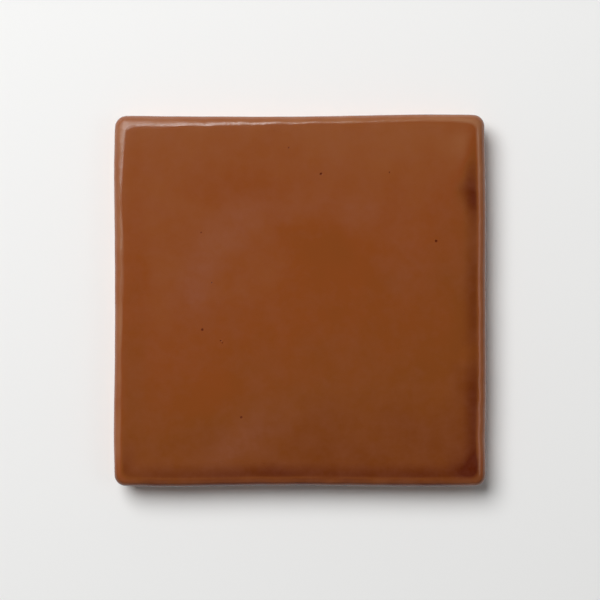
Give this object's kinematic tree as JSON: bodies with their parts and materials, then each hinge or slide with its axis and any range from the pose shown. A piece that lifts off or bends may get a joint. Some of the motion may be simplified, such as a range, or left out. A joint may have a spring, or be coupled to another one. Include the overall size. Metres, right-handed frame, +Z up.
{
  "type": "ceramic tile",
  "caption": "Square handmade glazed tile with wandering sides, soft cushioned face edges and a grooved back, for walls and worktops.",
  "frame": {"origin": "middle of the flat back, under the middle of the tile's bounding box", "axes": "+Z up out of the glazed face, +Y towards the side that is uppermost in the picture, +X to its right"},
  "size_m": [0.1, 0.1, 0.01],
  "materials": {
    "glazed_tile": "glossy"
  },
  "bodies": {
    "root": {"tile": "glazed_tile"}
  },
  "joints": []
}
